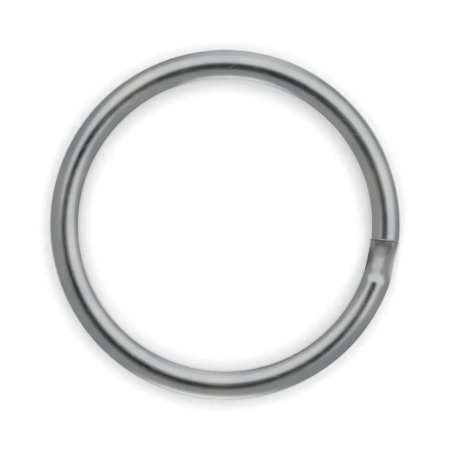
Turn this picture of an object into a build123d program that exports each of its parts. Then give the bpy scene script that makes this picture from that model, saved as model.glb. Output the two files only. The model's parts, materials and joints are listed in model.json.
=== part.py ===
from build123d import *
import os
from math import cos, pi, radians, sin

# A 25 mm split key ring: one length of rolled spring wire wound into two flat turns that lie on each
# other. The ring lies flat with its axis along +Z. The front turn is the upper one and the back turn the
# lower one. A short S-shaped crossover joins them, and each turn stops at a sheared free end beside it.
# The wire flexes along its whole length, so each turn is divided into short lengths that meet face to
# face on radial planes, where the torsion hinges stand.

# ---- driving dimensions, mm and degrees ----
ring_diameter = 25.4  # over the outside of the turns
wire_width = 2.15  # across the rolled wire, measured along a radius
wire_thickness = 1.15  # from crown to crown of one turn
crown_rise = 0.27  # height of the domed crown above its shoulders
edge_radius = 0.25  # rounded corner between the crown and the wire's side
turn_gap = 0.05  # space between the two turns at rest
free_end_angle = -5.5  # where the front turn's free end stands, anticlockwise from +X
crossover_span = 16.0  # angle taken by the S-shaped crossover
crossover_tuck = 0.07  # how far the middle of the crossover is drawn in towards the axis
end_break = 0.08  # edge break round each sheared end
lengths_per_turn = 12  # short lengths that one turn is divided into

# ---- sizes that follow ----
mean_radius = (ring_diameter - wire_width) / 2
shoulder_height = wire_thickness - 2 * crown_rise
layer_pitch = wire_thickness + turn_gap
back_level = wire_thickness / 2
front_level = back_level + layer_pitch
turn_span = 360 - crossover_span
length_span = turn_span / lengths_per_turn
crossover_start = free_end_angle + turn_span
crossover_sections = 12  # cross-sections that the crossover is lofted through


def wire_plane(angle, level, radius=mean_radius, slope=0.0):
    """The plane square to the wire at an angle round the ring: x runs outwards, z along the wire."""
    out = Vector(cos(radians(angle)), sin(radians(angle)), 0)
    along = Vector(-sin(radians(angle)), cos(radians(angle)), slope)
    return Plane(origin=out * radius + Vector(0, 0, level), x_dir=out, z_dir=along)


def crossover_plane(share):
    """The plane square to the crossover, a share of the way from the front turn to the back turn."""
    angle = crossover_start + share * crossover_span
    level = front_level - layer_pitch * (1 - cos(pi * share)) / 2
    radius = mean_radius - crossover_tuck * sin(pi * share) ** 2
    fall = layer_pitch * pi * sin(pi * share) / 2
    slope = -fall / (radius * radians(crossover_span))
    return wire_plane(angle, level, radius, slope)


# ---- the rolled wire's cross-section: flat sides, domed top and bottom, rounded corners ----
with BuildSketch() as section:
    with BuildLine():
        side = wire_width / 2
        shoulder = shoulder_height / 2
        crown = wire_thickness / 2
        Line((side, -shoulder), (side, shoulder))
        ThreePointArc((side, shoulder), (0, crown), (-side, shoulder))
        Line((-side, shoulder), (-side, -shoulder))
        ThreePointArc((-side, -shoulder), (0, -crown), (side, -shoulder))
    make_face()
    fillet(section.vertices(), edge_radius)

os.makedirs("parts", exist_ok=True)


def turn_length(label, start_angle, level, free_end=None):
    """One short length of a turn; a free end is the angle of the sheared face that is edge-broken."""
    with BuildPart() as length:
        with BuildSketch(wire_plane(start_angle, level)):
            add(section.sketch)
        revolve(axis=Axis.Z, revolution_arc=length_span)
        if free_end is not None:
            sheared_face = length.faces().sort_by_distance(wire_plane(free_end, level).origin)[0]
            chamfer(sheared_face.edges(), end_break)
    length.part.label = label
    export_step(length.part, f"parts/{label}.step")


# ---- front turn: from its free end anticlockwise to the crossover ----
turn_length("front_end", free_end_angle, front_level, free_end=free_end_angle)
for number in range(1, lengths_per_turn):
    turn_length(f"front_turn_{number:02d}", free_end_angle + number * length_span, front_level)

# ---- crossover: the same wire stepping down through an S from the upper level to the lower ----
with BuildPart() as crossover:
    for step in range(crossover_sections + 1):
        with BuildSketch(crossover_plane(step / crossover_sections)):
            add(section.sketch)
    loft()
crossover.part.label = "crossover"
export_step(crossover.part, "parts/crossover.step")

# ---- back turn: on anticlockwise under the front turn to its own free end ----
back_start = crossover_start + crossover_span
for number in range(1, lengths_per_turn):
    turn_length(f"back_turn_{number:02d}", back_start + (number - 1) * length_span, back_level)
back_end_start = back_start + (lengths_per_turn - 1) * length_span
turn_length("back_end", back_end_start, back_level, free_end=back_end_start + length_span)
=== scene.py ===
# %% [markdown]
# # A split key ring of bright nickel-plated spring wire
# A split ring is one length of rolled spring wire, wound into two flat turns that lie on each other.
# The imported model gives its frame: 25 short lengths of wire, joined by torsion hinges. Blender never
# moves them. This lesson builds the same wire again as one smooth skin, in pieces that reach across the
# hinges, and then gives it its finish.

# %% Load the frame
import json

import bpy
import numpy as np
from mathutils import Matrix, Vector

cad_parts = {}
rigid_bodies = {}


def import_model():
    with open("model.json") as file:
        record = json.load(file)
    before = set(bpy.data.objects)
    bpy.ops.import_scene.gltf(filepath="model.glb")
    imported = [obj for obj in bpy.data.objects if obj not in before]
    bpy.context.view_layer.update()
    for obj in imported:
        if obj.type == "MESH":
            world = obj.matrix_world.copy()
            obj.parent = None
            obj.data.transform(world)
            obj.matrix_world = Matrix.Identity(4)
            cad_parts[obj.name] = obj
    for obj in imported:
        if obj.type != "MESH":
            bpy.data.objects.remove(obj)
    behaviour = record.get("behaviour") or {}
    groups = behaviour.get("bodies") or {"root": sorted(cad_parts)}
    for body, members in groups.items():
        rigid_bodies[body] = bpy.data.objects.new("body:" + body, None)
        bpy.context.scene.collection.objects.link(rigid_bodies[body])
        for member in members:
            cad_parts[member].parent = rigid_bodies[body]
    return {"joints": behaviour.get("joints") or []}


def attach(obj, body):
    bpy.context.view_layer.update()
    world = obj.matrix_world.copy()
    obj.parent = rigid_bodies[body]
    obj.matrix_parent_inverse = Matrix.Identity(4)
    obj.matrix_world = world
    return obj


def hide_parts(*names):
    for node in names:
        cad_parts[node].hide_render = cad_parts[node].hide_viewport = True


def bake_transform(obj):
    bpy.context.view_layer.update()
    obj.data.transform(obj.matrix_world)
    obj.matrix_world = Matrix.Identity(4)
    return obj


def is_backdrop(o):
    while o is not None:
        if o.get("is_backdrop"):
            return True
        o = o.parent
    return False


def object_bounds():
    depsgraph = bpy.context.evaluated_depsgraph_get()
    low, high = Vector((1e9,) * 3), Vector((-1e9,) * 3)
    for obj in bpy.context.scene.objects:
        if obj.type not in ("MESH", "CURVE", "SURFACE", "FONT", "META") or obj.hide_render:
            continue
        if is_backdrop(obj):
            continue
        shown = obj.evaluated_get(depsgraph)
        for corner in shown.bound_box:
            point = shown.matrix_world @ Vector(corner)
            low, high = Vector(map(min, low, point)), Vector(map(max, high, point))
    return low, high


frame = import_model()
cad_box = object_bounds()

print("box in mm:", [round(1000 * side, 3) for side in cad_box[1] - cad_box[0]])

# %% [markdown]
# ## Read the wire's path from its hinges
# Every hinge stands on the wire's centre line, so the hinges already say how large the turns are and how
# high each one lies. They could be measured again here, but reading them keeps the skin on its frame.
# Following them from child to parent gives the order of the lengths along the wire. A place along the
# wire is its sweep: the angle gone round the ring, in degrees, from the front end's tip. It runs past 360,
# because the wire goes round almost twice.

# %% Follow the hinges along the wire
free_end_angle = -5.5  # where the front turn's sheared end stands, anticlockwise from +X
towards_back = {joint["child"]: joint for joint in frame["joints"]}
chain = []
body = "front_end"
while body in towards_back:
    chain.append(towards_back[body])
    body = towards_back[body]["parent"]

hinge_points = np.array([joint["pos_m"] for joint in chain])
hinge_angles = np.degrees(np.arctan2(hinge_points[:, 1], hinge_points[:, 0]))
steps = np.diff(hinge_angles, prepend=free_end_angle) % 360
length_span = steps[0]
cuts = np.concatenate([[0], np.cumsum(steps), [steps.sum() + length_span]])
middles = (cuts[:-1] + cuts[1:]) / 2
print("lengths:", len(middles), "sweep of the whole wire:", round(cuts[-1], 2), "degrees")

# %% Sizes of the coil
mean_radius = np.hypot(*hinge_points[0, :2])
front_level = hinge_points[0, 2]
back_level = hinge_points[-1, 2]
layer_pitch = front_level - back_level
crossover = int(np.argmin(steps[1:])) + 1
crossover_start = cuts[crossover]
crossover_span = steps[crossover]
crossover_tuck = 0.00007  # the middle of the crossover is drawn in by this much
print("radius", round(1000 * mean_radius, 3), "mm, levels", round(1000 * front_level, 3),
      "and", round(1000 * back_level, 3), "mm, crossover", round(crossover_start, 2),
      "to", round(crossover_start + crossover_span, 2))

# %% [markdown]
# ## The centre line
# The real wire is coiled on a mandrel and set flat, with one short S-shaped step where it passes from one
# turn to the other. A curve object could follow this, but a formula is shorter and gives the slope as well:
# both turns are circles, and the step is half a cosine wave.


# %% Centre line of the wire
def centre_line(sweep):
    """Radius, height and slope of the wire's middle. Height falls by half a cosine wave over the crossover,
    the radius dips there by a sine squared, and the slope is the fall in height per distance travelled."""
    share = np.clip((sweep - crossover_start) / crossover_span, 0, 1)
    radius = mean_radius - crossover_tuck * np.sin(np.pi * share) ** 2
    level = front_level - layer_pitch * (1 - np.cos(np.pi * share)) / 2
    fall = layer_pitch * np.pi * np.sin(np.pi * share) / 2
    return radius, level, -fall / (radius * np.radians(crossover_span))


def directions(sweep):
    """Unit vectors out from the ring's axis, up from the wire's crown, and along the wire."""
    angle = np.radians(free_end_angle + sweep)
    slope = centre_line(sweep)[2]
    flat = np.zeros_like(angle)
    out = np.stack([np.cos(angle), np.sin(angle), flat], -1)
    along = np.stack([-np.sin(angle), np.cos(angle), slope], -1) / np.sqrt(1 + slope**2)[..., None]
    return out, np.cross(out, along), along


def wire_middle(sweep):
    """The point on the centre line at a sweep: radius times the outward direction, at its height."""
    radius, level, _ = centre_line(np.asarray(sweep, float))
    angle = np.radians(free_end_angle + sweep)
    return np.stack([radius * np.cos(angle), radius * np.sin(angle), level], -1)


print("front tip in mm:", np.round(1000 * wire_middle(0.0), 3))

# %% [markdown]
# ## The wire's cross-section
# The wire was round and was rolled flat before coiling, so its sides are nearly flat, its top and bottom
# are low domes, and rounded corners join them. A bevelled box would come near, but its reflections would
# break at the bevels. Here eight spans go round the wire: side, corner, dome, corner, and the same again.
# Along each span the surface normal turns evenly, so the normal's angle is enough to place a point. The
# dome's radius follows from its width and rise, as for any arc over a chord.

# %% Cross-section spans
wire_width = 0.00215
wire_thickness = 2 * back_level
crown_rise = 0.00027
edge_radius = 0.00025
half_width = wire_width / 2
crown_radius = (half_width**2 + crown_rise**2) / (2 * crown_rise)
crown_drop = crown_radius - wire_thickness / 2
corner_x = half_width - edge_radius
corner_z = np.sqrt((crown_radius - edge_radius) ** 2 - corner_x**2) - crown_drop
corner_turn = np.arctan2(corner_z + crown_drop, corner_x)

half_from = np.array([0, 0, corner_turn, np.pi - corner_turn])
half_to = np.array([0, corner_turn, np.pi - corner_turn, np.pi])
span_from = np.concatenate([half_from, np.pi + half_from])
span_to = np.concatenate([half_to, np.pi + half_to])
span_radius = np.tile([edge_radius, edge_radius, crown_radius, edge_radius], 2)
centre_from = np.array(
    [[corner_x, -corner_z], [corner_x, corner_z], [0, -crown_drop], [-corner_x, corner_z]]
)
centre_from = np.concatenate([centre_from, -centre_from])
centre_to = centre_from.copy()
centre_to[[0, 4]] = [[corner_x, corner_z], [-corner_x, -corner_z]]
print("dome radius", round(1000 * crown_radius, 3), "mm,",
      "corner turns", round(np.degrees(corner_turn), 1), "degrees")

# %% Points round the cross-section
columns_on_span = np.tile([3, 8, 24, 8], 2)  # on a side, a corner, a dome and a corner
span_of = np.repeat(np.arange(8), columns_on_span)
share_of = np.concatenate([np.arange(n) / n for n in columns_on_span])
turn = span_from[span_of] + (span_to - span_from)[span_of] * share_of
section_normal = np.stack([np.cos(turn), np.sin(turn)], -1)
section_centre = centre_from[span_of] + (centre_to - centre_from)[span_of] * share_of[:, None]
section = section_centre + span_radius[span_of][:, None] * section_normal
columns = len(section)
print("points round the wire:", columns, "half thickness", round(1000 * section[:, 1].max(), 4), "mm")

# %% [markdown]
# ## A skin carried along the wire
# Each piece is the cross-section carried along the centre line, worked out as whole arrays. Rolling leaves
# the real wire a few thousandths of a millimetre thicker here and thinner there, which makes its bands of
# reflection wander a little. So the skin is drawn in by a small depth that varies along and round the
# wire. It is always drawn in and never out, so the wire stays within the size it was made to.


# %% Unevenness left by rolling
roll_depth = 0.000004
roll_waves = np.array([[0.0031, 0.9, 0.0], [0.0013, -1.7, 1.3], [0.0074, 2.3, 4.1]])
# each wave: length along the wire in metres, change across the wire in radians per mm, phase


def rolling(along, across):
    """Depth of the skin below its full size: half the roll depth times one plus the mean of three
    travelling sine waves."""
    length, lean, phase = roll_waves.T[:, :, None, None]
    waves = np.sin(2 * np.pi * along / length + 1000 * lean * across + phase)
    return roll_depth * (1 + waves.mean(0)) / 2


# %% The skin as a function of sweep and place round the section
def skin(sweep, inset=0.0, scale=1.0):
    """Points and straight-wire coordinates on a grid, rows along the wire and columns round it.
    point = middle of the wire + across * outward + height * upward, where across and height are the
    section's point moved in along its normal by the inset and the rolling depth, then scaled towards the
    wire's middle. The straight-wire coordinates are length along the wire, across and height."""
    sweep, inset, scale = (np.broadcast_to(x, np.shape(sweep)).astype(float) for x in (sweep, inset, scale))
    out, up, _ = directions(sweep)
    run = np.repeat(mean_radius * np.radians(sweep)[:, None], columns, 1)
    depth = inset[:, None] + rolling(run, section[None, :, 0])
    flat = (section - depth[..., None] * section_normal) * scale[:, None, None]
    points = wire_middle(sweep)[:, None] + flat[..., :1] * out[:, None] + flat[..., 1:] * up[:, None]
    return points, np.concatenate([run[..., None], flat], -1)


def shade_and_dulling_mask_between_turns(sweep):
    """Mask for the painted shade and the duller plating between the turns: 1 where the skin faces the other
    turn, fading to 0 on its open side: the normal's height, positive downwards on the front turn and upwards
    on the back one, through a smooth step. The crossover is open on both sides: side is 1 at its start, -1
    at its end and more than 1 or less than -1 on the turns."""
    open_until, steepness = 0.8, 4
    least_facing, most_facing = 0.15, 0.75
    side = 1 - 2 * (sweep - crossover_start) / crossover_span
    covered = np.sign(side) * np.clip(steepness * (np.abs(side) - open_until), 0, 1)
    towards_other = -covered[:, None] * section_normal[None, :, 1]
    facing = np.clip((towards_other - least_facing) / (most_facing - least_facing), 0, 1)
    return facing**2 * (3 - 2 * facing)


def skin_normals(sweep, tilt=0.0):
    """Outward normals on the same grid: the section's own normal plus the slope of the rolling depth along
    the wire, by a central difference, turned by tilt towards the wire's direction."""
    out, up, along = directions(sweep)
    tilt = np.broadcast_to(tilt, np.shape(sweep)).astype(float)[:, None, None]
    run = np.repeat(mean_radius * np.radians(sweep)[:, None], columns, 1)
    step = 0.00002
    across = section[None, :, 0]
    slope = (rolling(run + step, across) - rolling(run - step, across)) / (2 * step)
    around = section_normal[None, :, :1] * out[:, None] + section_normal[None, :, 1:] * up[:, None]
    leaning = around + slope[..., None] * along[:, None]
    turned = np.cos(tilt) * leaning + np.sin(tilt) * along[:, None]
    return turned / np.linalg.norm(turned, axis=-1, keepdims=True)


# %% A grid made into a closed mesh
def closed_mesh(name, points, straight, shade_and_dulling_between_turns, normals, start_pole, end_pole):
    """A tube of quads through the rows of points, closed at each end by a fan to a pole, with its own
    normals. A pole is a point, its straight-wire coordinates and its sweep; the fans face straight along
    the wire."""
    rows = len(points)
    index = np.arange(rows * columns).reshape(rows, columns)
    here, ahead = index[:-1], index[1:]
    quads = np.stack([here, ahead, np.roll(ahead, -1, 1), np.roll(here, -1, 1)], -1).reshape(-1, 4)
    first, last = index[0], index[-1]
    poles = rows * columns
    fan_start = np.stack([np.full(columns, poles), first, np.roll(first, -1)], -1)
    fan_end = np.stack([np.full(columns, poles + 1), np.roll(last, -1), last], -1)
    places = np.concatenate([points.reshape(-1, 3), start_pole[0][None], end_pole[0][None]])
    mesh = bpy.data.meshes.new(name)
    mesh.from_pydata(places, [], quads.tolist() + fan_start.tolist() + fan_end.tolist())
    mesh.polygons.foreach_set("use_smooth", np.ones(len(mesh.polygons), bool))

    flat_start, flat_end = -directions(start_pole[2])[2], directions(end_pole[2])[2]
    own = np.concatenate([normals.reshape(-1, 3), flat_start[None], flat_end[None]])
    corner_normals = own[np.concatenate([quads.ravel(), fan_start.ravel(), fan_end.ravel()])]
    corner_normals[quads.size : quads.size + fan_start.size] = flat_start
    corner_normals[quads.size + fan_start.size :] = flat_end
    mesh.normals_split_custom_set(corner_normals)

    coordinates = np.concatenate([straight.reshape(-1, 3), start_pole[1][None], end_pole[1][None]])
    attribute = mesh.attributes.new("straight_wire", "FLOAT_VECTOR", "POINT")
    attribute.data.foreach_set("vector", coordinates.astype(np.float32).ravel())
    # mask of the painted shade between the turns, which also makes the plating there duller
    attribute = mesh.attributes.new("shade_and_dulling_between_turns", "FLOAT", "POINT")
    attribute.data.foreach_set("value", np.append(shade_and_dulling_between_turns.ravel(), [0, 0]).astype(np.float32))
    mesh.update()
    piece = bpy.data.objects.new(name, mesh)
    bpy.context.scene.collection.objects.link(piece)
    return piece


# %% [markdown]
# ## Twenty-four pieces across the hinges
# The hinges stand where two lengths meet, but real wire has no corner there: it twists evenly. A piece
# could ride on each body, but then the skin would crack at every hinge. So each piece runs from the middle
# of one length to the middle of the next, with the hinge halfway along it. Neighbouring pieces meet in the
# middle of a length. The pieces are not attached to any body, and the two lengths that each one covers
# are hidden.

# %% Build the pieces across the hinges
row_step = 0.5  # degrees of sweep between rows
pieces = []


def hidden_pole(sweep):
    """The middle of a hidden cut across the wire."""
    middle = wire_middle(sweep)
    return middle, np.array([mean_radius * np.radians(sweep), 0, 0]), sweep


for number, joint in enumerate(chain):
    start, end = middles[number], middles[number + 1]
    sweeps = np.linspace(start, end, int(round((end - start) / row_step)) + 1)
    points, straight = skin(sweeps)
    name = joint["name"].replace("twist", "flex")
    ends = hidden_pole(start), hidden_pole(end)
    piece = closed_mesh(name, points, straight, shade_and_dulling_mask_between_turns(sweeps), skin_normals(sweeps), *ends)
    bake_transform(piece)
    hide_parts(joint["child"], joint["parent"])
    pieces.append(piece)
print("bending pieces:", len(pieces), "each with about", len(pieces[0].data.polygons), "faces")

# %% [markdown]
# ## The two sheared ends
# Each end is cut off in a shear. The blade first burnishes the steel, then the rest breaks away, so the
# face leans back a little below the middle, and plating rounds its rim. A bevel modifier could round it,
# but it would have to be kept off all the other edges. So the same skin is carried on round that rim by
# drawing the section in and turning its normal, and then across the face by scaling it to a pole.

# %% Build the sheared ends
rim_radius = 0.00008
rim_rows = 8
face_rows = 12
break_lean = 0.000025  # how far the broken lower part of the face leans back
break_level = 0.0001  # height above the wire's middle where the burnished part ends, and half its blend
rim = np.linspace(0, np.pi / 2, rim_rows + 1)[1:]
face = np.linspace(1, 0, face_rows + 1)[1:-1]


def face_quads(rows, first_face_row, way):
    """True for every face of the mesh that lies on the sheared face: the last rows of quads and their
    fan, or the first rows and their fan where the rows were reversed."""
    row = np.arange(rows - 1)
    on_face = row >= first_face_row
    quads = np.repeat(on_face if way > 0 else on_face[::-1], columns)
    fans = np.repeat([way < 0, way > 0], columns)
    return np.concatenate([quads, fans])


def lean_at(height):
    """How far the face leans back at a height above the wire's middle: half the lean times one minus a
    hyperbolic tangent, so none at the top and all of it at the bottom."""
    return break_lean * (0.5 - 0.5 * np.tanh((height - break_level) / break_level))


def sheared_end(name, middle, tip):
    """A piece from the middle of its length to its tip. Rows go along the wire, then round the rim, where
    the section is drawn in by radius * (1 - cosine), then across the face, where it is scaled down to a
    pole. The face is moved back along the wire by its lean."""
    way = np.sign(tip - middle)
    rim_sweep = way * np.degrees(rim_radius / mean_radius)
    body_sweeps = np.linspace(middle, tip - rim_sweep, int(abs(tip - middle) / row_step) + 1)
    sweeps = np.concatenate([body_sweeps, tip - rim_sweep * (1 - np.sin(rim)), np.full(len(face), tip)])
    plain = np.zeros(len(body_sweeps))
    inset = np.concatenate([plain, rim_radius * (1 - np.cos(rim)), np.full(len(face), rim_radius)])
    scale = np.concatenate([plain + 1, np.ones(len(rim)), face])
    tilt = np.concatenate([plain, way * rim, np.full(len(face), way * np.pi / 2)])
    points, straight = skin(sweeps, inset, scale)
    towards_face = np.clip((np.arange(len(sweeps)) - len(body_sweeps)) / rim_rows, 0, 1)[:, None]
    lean = lean_at(straight[..., 2]) * towards_face
    outward = way * directions(tip)[2]
    points = points - lean[..., None] * outward
    grids = [points, straight, shade_and_dulling_mask_between_turns(sweeps), skin_normals(sweeps, tilt)]
    pole, pole_straight, _ = hidden_pole(tip)
    ends = [hidden_pole(middle), (pole - lean_at(0.0) * outward, pole_straight, tip)]
    if way < 0:
        grids, ends = [grid[::-1] for grid in grids], ends[::-1]
    piece = closed_mesh(name, *grids, *ends)
    on_face = face_quads(len(sweeps), len(body_sweeps) + rim_rows - 1, way)
    piece.data.polygons.foreach_set("material_index", on_face.astype(np.int32))
    return piece


for name, middle, tip, body in (
    ("front_tip", middles[0], cuts[0], "front_end"),
    ("back_tip", middles[-1], cuts[-1], "back_end"),
):
    piece = sheared_end(name, middle, tip)
    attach(piece, body)
    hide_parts(body)
    pieces.append(piece)
print("sheared ends:", pieces[-2].name, "and", pieces[-1].name)

# %% [markdown]
# ## Bright nickel plating
# The finish is a thin coat of bright nickel over spring steel, put on in a tumbling barrel. It could be a
# plain grey metal, but real plating shows how the wire was made: rolling leaves fine lines along it, and
# the barrel leaves hairlines and small nicks. The lines are a noise stretched along the wire. Its
# coordinates are those of the straight wire before it was coiled, stored on every point, so the lines
# follow the coil and pass from piece to piece without a break.


# %% Colour and node helpers
def linear(hex_colour):
    """A colour written as sRGB hex, as the linear values that Blender's sockets take."""
    srgb = np.array([int(hex_colour[i : i + 2], 16) for i in (1, 3, 5)]) / 255
    return (*np.where(srgb <= 0.04045, srgb / 12.92, ((srgb + 0.055) / 1.055) ** 2.4), 1.0)


def node(tree, kind, inputs=None, **settings):
    """Adds a node of a kind with its settings. Each input, by name or number, takes a value, or a link
    from another node's output."""
    made = tree.nodes.new(kind)
    for key, value in settings.items():
        setattr(made, key, value)
    for key, value in (inputs or {}).items():
        if isinstance(value, bpy.types.NodeSocket):
            tree.links.new(value, made.inputs[key])
        else:
            made.inputs[key].default_value = value
    return made


def new_material(name):
    """An empty node material: the material and its node tree."""
    material = bpy.data.materials.new(name)
    material.use_nodes = True
    material.node_tree.nodes.clear()
    return material, material.node_tree


# %% The marks of rolling and of the barrel
# Bright nickel mirrors the room with a slight blur. The eye gets long bands of light and dark that run
# round the ring, finely streaked by the rolling lines and crossed here and there by a hairline or a nick.
line_spacing = 0.00009  # rolling lines, drawn coarser than the real 0.02 mm so that they show
line_length = 0.005
scratch_width, scratch_length = 0.00006, 0.0022  # hairlines, also drawn wider than real ones
nick_spacing = 0.0009
nick_floor, nick_edge = 0.03, 0.11  # radii of a nick's flat floor and its edge, in nick spacings
cloud_size = 0.003  # patches of slightly thinner and thicker plating

nickel, tree = new_material("bright_nickel_plating_barrel_polished")
straight_wire = node(tree, "ShaderNodeAttribute", attribute_name="straight_wire").outputs["Vector"]
shade_and_dulling_between_turns = node(tree, "ShaderNodeAttribute", attribute_name="shade_and_dulling_between_turns").outputs["Fac"]
line_scale = (1 / line_length, 1 / line_spacing, 1 / line_spacing)
stretched = node(
    tree, "ShaderNodeVectorMath", {0: straight_wire, 1: line_scale}, operation="MULTIPLY"
).outputs[0]
lines = node(
    tree, "ShaderNodeTexNoise", {"Vector": stretched, "Scale": 1.0, "Detail": 3.0, "Roughness": 0.6}
).outputs["Fac"]
clouds = node(
    tree, "ShaderNodeTexNoise", {"Vector": straight_wire, "Scale": 1 / cloud_size, "Detail": 3.0}
).outputs["Fac"]


def scratches(angle, rarity):
    """Hairlines at an angle to the wire: a noise stretched that way, of which only the parts higher than
    the rarity are kept."""
    turned = node(
        tree,
        "ShaderNodeMapping",
        {
            "Vector": straight_wire,
            "Rotation": (0, 0, np.radians(angle)),
            "Scale": (scratch_length, scratch_width, scratch_length),
        },
        vector_type="TEXTURE",
    ).outputs["Vector"]
    noise = node(tree, "ShaderNodeTexNoise", {"Vector": turned, "Scale": 1.0, "Detail": 1.0}).outputs["Fac"]
    return node(
        tree, "ShaderNodeMapRange", {"Value": noise, "From Min": rarity, "From Max": rarity + 0.05}
    ).outputs["Result"]


hairlines = node(
    tree, "ShaderNodeMath", {0: scratches(28, 0.72), 1: scratches(-41, 0.73)}, operation="MAXIMUM"
).outputs[0]
nicks = node(
    tree, "ShaderNodeTexVoronoi", {"Vector": straight_wire, "Scale": 1 / nick_spacing}
).outputs["Distance"]
past_nick = node(
    tree,
    "ShaderNodeMapRange",
    {"Value": nicks, "From Min": nick_floor, "From Max": nick_edge},
    interpolation_type="SMOOTHSTEP",
).outputs["Result"]
print("marks:", len(tree.nodes), "nodes")

# %% The plated surface
line_height = 0.0000032
hairline_depth, nick_depth = 0.25, 1.2  # in line heights
scored = node(
    tree, "ShaderNodeMath", {0: hairlines, 1: -hairline_depth, 2: lines}, operation="MULTIPLY_ADD"
).outputs[0]
height = node(
    tree, "ShaderNodeMath", {0: past_nick, 1: nick_depth, 2: scored}, operation="MULTIPLY_ADD"
).outputs[0]
relief = node(
    tree, "ShaderNodeBump", {"Height": height, "Strength": 1.0, "Distance": line_height}
).outputs["Normal"]

tone = node(tree, "ShaderNodeValToRGB", {"Fac": clouds})
for stop, place, colour in zip(tone.color_ramp.elements, (0.3, 0.7), ("#BDBEC0", "#D0D0CF")):
    stop.position, stop.color = place, linear(colour)
# between the turns the base colour is darkened towards a grey-brown by this mask: painted shade where the
# turns cover each other. The barrel hardly reaches there, so the roughness below also makes that plating
# duller
darkest_painted_shade = 0.75
painted_shade = node(tree, "ShaderNodeMath", {0: shade_and_dulling_between_turns, 1: darkest_painted_shade}, operation="MULTIPLY").outputs[0]
base = node(
    tree,
    "ShaderNodeMix",
    {"Factor": painted_shade, "A": tone.outputs["Color"], "B": linear("#6E6B66")},
    data_type="RGBA",
).outputs["Result"]

# roughness: least that polished nickel has, and what each mark adds to it where it is strongest
blur = 0.02
for mark, adds in ((lines, 0.22), (clouds, 0.10), (hairlines, 0.14), (shade_and_dulling_between_turns, 0.28)):
    blur = node(tree, "ShaderNodeMath", {0: mark, 1: adds, 2: blur}, operation="MULTIPLY_ADD").outputs[0]
surface = node(
    tree,
    "ShaderNodeBsdfPrincipled",
    {"Base Color": base, "Roughness": blur, "Normal": relief, "Metallic": 1.0},
)
node(tree, "ShaderNodeOutputMaterial", {"Surface": surface.outputs["BSDF"]})
print("plating:", len(tree.nodes), "nodes")

# %% [markdown]
# ## The sheared faces
# Shear blades drag the steel, so the end faces carry fine upright score marks, and the thin plating over
# them stays greyer and duller than on the rolled skin. The same material with more blur would do from
# afar, but the marks run another way here, so the faces of the two ends get a second material.

# %% Dull plating over a sheared face
# It shows as a flat grey, streaked from top to bottom, that hardly mirrors anything.
score_spacing = 0.00005
score_depth = 0.000006
score_stretch = 0.12  # how slowly the marks change upwards, as a share of how they change across

sheared, tree = new_material("dull_nickel_over_sheared_spring_steel")
straight_wire = node(tree, "ShaderNodeAttribute", attribute_name="straight_wire").outputs["Vector"]
score_scale = (1 / score_spacing, 1 / score_spacing, score_stretch / score_spacing)
upright = node(
    tree, "ShaderNodeVectorMath", {0: straight_wire, 1: score_scale}, operation="MULTIPLY"
).outputs[0]
score = node(
    tree, "ShaderNodeTexNoise", {"Vector": upright, "Scale": 1.0, "Detail": 3.0, "Roughness": 0.65}
).outputs["Fac"]
relief = node(
    tree, "ShaderNodeBump", {"Height": score, "Strength": 1.0, "Distance": score_depth}
).outputs["Normal"]
tone = node(tree, "ShaderNodeValToRGB", {"Fac": score})
for stop, place, colour in zip(tone.color_ramp.elements, (0.3, 0.7), ("#ABAAA7", "#C8C7C4")):
    stop.position, stop.color = place, linear(colour)
least_blur, score_adds = 0.12, 0.3
blur = node(
    tree, "ShaderNodeMath", {0: score, 1: score_adds, 2: least_blur}, operation="MULTIPLY_ADD"
).outputs[0]
surface = node(
    tree,
    "ShaderNodeBsdfPrincipled",
    {"Base Color": tone.outputs["Color"], "Roughness": blur, "Normal": relief, "Metallic": 1.0},
)
node(tree, "ShaderNodeOutputMaterial", {"Surface": surface.outputs["BSDF"]})
for piece in pieces:
    piece.data.materials.append(nickel)
    piece.data.materials.append(sheared)
print("sheared faces:", len(tree.nodes), "nodes")

# %% [markdown]
# ## Floor, light and camera
# The ring lies on a plain pale sheet. A shiny thing is lit by what it reflects, so lamps alone would leave
# it nearly black. The light is a soft room instead: one wide bright panel high on one side, grey walls,
# and the dark patch that a camera leaves overhead. A sun with a very wide disc, which glossy surfaces
# don't see, lights the sheet itself.

# %% The pale sheet
sheet_size = 3.0
fibre_scale = 2500.0  # fibres about 0.4 mm apart
corners = np.array([[-1, -1, 0], [1, -1, 0], [1, 1, 0], [-1, 1, 0]]) * sheet_size / 2
floor_mesh = bpy.data.meshes.new("floor")
floor_mesh.from_pydata(corners.tolist(), [], [(0, 1, 2, 3)])
floor = bpy.data.objects.new("floor", floor_mesh)
bpy.context.scene.collection.objects.link(floor)
floor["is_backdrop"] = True

# uncoated card has no gloss, and its fibres give a grain that can only just be seen
card, tree = new_material("matt_white_card")
on_sheet = node(tree, "ShaderNodeTexCoord").outputs["Object"]
fibres = node(
    tree, "ShaderNodeTexNoise", {"Vector": on_sheet, "Scale": fibre_scale, "Detail": 2.0}
).outputs["Fac"]
tone = node(tree, "ShaderNodeValToRGB", {"Fac": fibres})
for stop, place, colour in zip(tone.color_ramp.elements, (0.3, 0.7), ("#F4F4F4", "#F9F9F9")):
    stop.position, stop.color = place, linear(colour)
surface = node(tree, "ShaderNodeBsdfPrincipled", {"Base Color": tone.outputs["Color"], "Roughness": 0.9})
node(tree, "ShaderNodeOutputMaterial", {"Surface": surface.outputs["BSDF"]})
floor_mesh.materials.append(card)
print("sheet:", sheet_size, "m wide")


# %% The room that the ring reflects
def direction(azimuth, off_vertical):
    """A unit vector at an azimuth anticlockwise from +X and an angle away from straight up, in degrees."""
    azimuth, off_vertical = np.radians(azimuth), np.radians(off_vertical)
    level = np.sin(off_vertical)
    return (level * np.cos(azimuth), level * np.sin(azimuth), np.cos(off_vertical))


room = bpy.data.worlds.new("soft_room")
bpy.context.scene.world = room
room.use_nodes = True
tree = room.node_tree
tree.nodes.clear()
looking = node(tree, "ShaderNodeTexCoord").outputs["Generated"]


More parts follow.
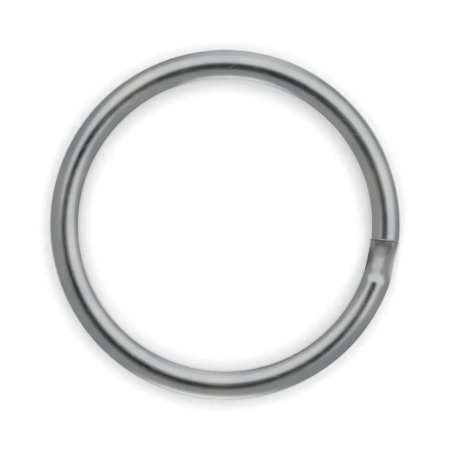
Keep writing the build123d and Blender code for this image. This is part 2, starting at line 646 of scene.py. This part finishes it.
def soft_patch(azimuth, off_vertical, edge_in, edge_out):
    """1 within edge_in degrees of a direction, falling smoothly to 0 at edge_out degrees. The cosine of
    the angle between the two directions is their dot product."""
    middle = direction(azimuth, off_vertical)
    towards = node(
        tree, "ShaderNodeVectorMath", {0: looking, 1: middle}, operation="DOT_PRODUCT"
    ).outputs["Value"]
    edges = {"From Min": np.cos(np.radians(edge_out)), "From Max": np.cos(np.radians(edge_in))}
    return node(
        tree, "ShaderNodeMapRange", {"Value": towards} | edges, interpolation_type="SMOOTHSTEP"
    ).outputs["Result"]


def lit_by(light, patches):
    """The light so far, with each soft patch laid over it in turn: a direction, its soft edge and its
    brightness, which is a number or an output."""
    for *where, brightness in patches:
        share = soft_patch(*where)
        light = node(tree, "ShaderNodeMix", {"Factor": share, "A": light, "B": brightness}).outputs["Result"]
    return light


# brightness 1 is about as bright as the sheet
# each patch: azimuth, degrees off vertical, inside and outside of its soft edge, brightness
wall, high_grey, panel, camera_patch = 0.38, 0.40, 1.0, 0.024
walls = lit_by(wall, [
    (20, 80, 8, 26, 0.76),  # two upright soft panels low round the sheet
    (200, 80, 8, 26, 0.68),
    (80, 54, 11, 21, 0.8),  # one that the crossover mirrors, and one that the sheared face mirrors
    (264, 58, 12, 24, 1.25),
    (118, 80, 6, 24, 0.144),  # darker room between them
    (318, 80, 6, 24, 0.16),
])
ceiling = lit_by(high_grey, [(65, 24, 31, 37, panel)])
lit = lit_by(walls, [(0, 0, 28, 46, ceiling)])
seen = lit_by(lit, [(240, 5.5, 7, 16, camera_patch)])
ring_sees = node(tree, "ShaderNodeBackground", {"Color": seen, "Strength": 1.0}).outputs["Background"]
camera_sees = node(
    tree, "ShaderNodeBackground", {"Color": linear("#FFFFFF"), "Strength": 1.0}
).outputs["Background"]
by_camera = node(tree, "ShaderNodeLightPath").outputs["Is Camera Ray"]
choice = node(tree, "ShaderNodeMixShader", {0: by_camera, 1: ring_sees, 2: camera_sees}).outputs["Shader"]
node(tree, "ShaderNodeOutputWorld", {"Surface": choice})
print("room:", len(tree.nodes), "nodes")

# %% Sun and camera
sun = bpy.data.objects.new("sheet_light", bpy.data.lights.new("sheet_light", "SUN"))
bpy.context.scene.collection.objects.link(sun)
sun.data.energy = 2.5
sun.data.angle = np.radians(100)  # a disc so wide that shadows have no edge
sun.visible_glossy = False
sun.rotation_euler = (np.radians(-4), np.radians(3), 0)

lens, share_of_frame = 400.0, 0.78  # a long lens, so that all of the ring is seen almost straight down
camera = bpy.data.objects.new("camera", bpy.data.cameras.new("camera"))
bpy.context.scene.collection.objects.link(camera)
camera.data.lens = lens
ring_diameter = cad_box[1].x - cad_box[0].x
distance = ring_diameter / share_of_frame * lens / camera.data.sensor_width
camera.location = (0, 0, distance + front_level)
camera.data.clip_start, camera.data.clip_end = 0.01, 10
bpy.context.scene.camera = camera
bpy.context.scene.view_settings.view_transform = "Standard"
print("camera", round(1000 * distance), "mm above the ring")

# %% How far the skin grows past the frame
visual_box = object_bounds()
grown = max(*(cad_box[0] - visual_box[0]), *(visual_box[1] - cad_box[1]))
print("grown past the frame by at most", round(1e6 * grown, 2), "thousandths of a mm")
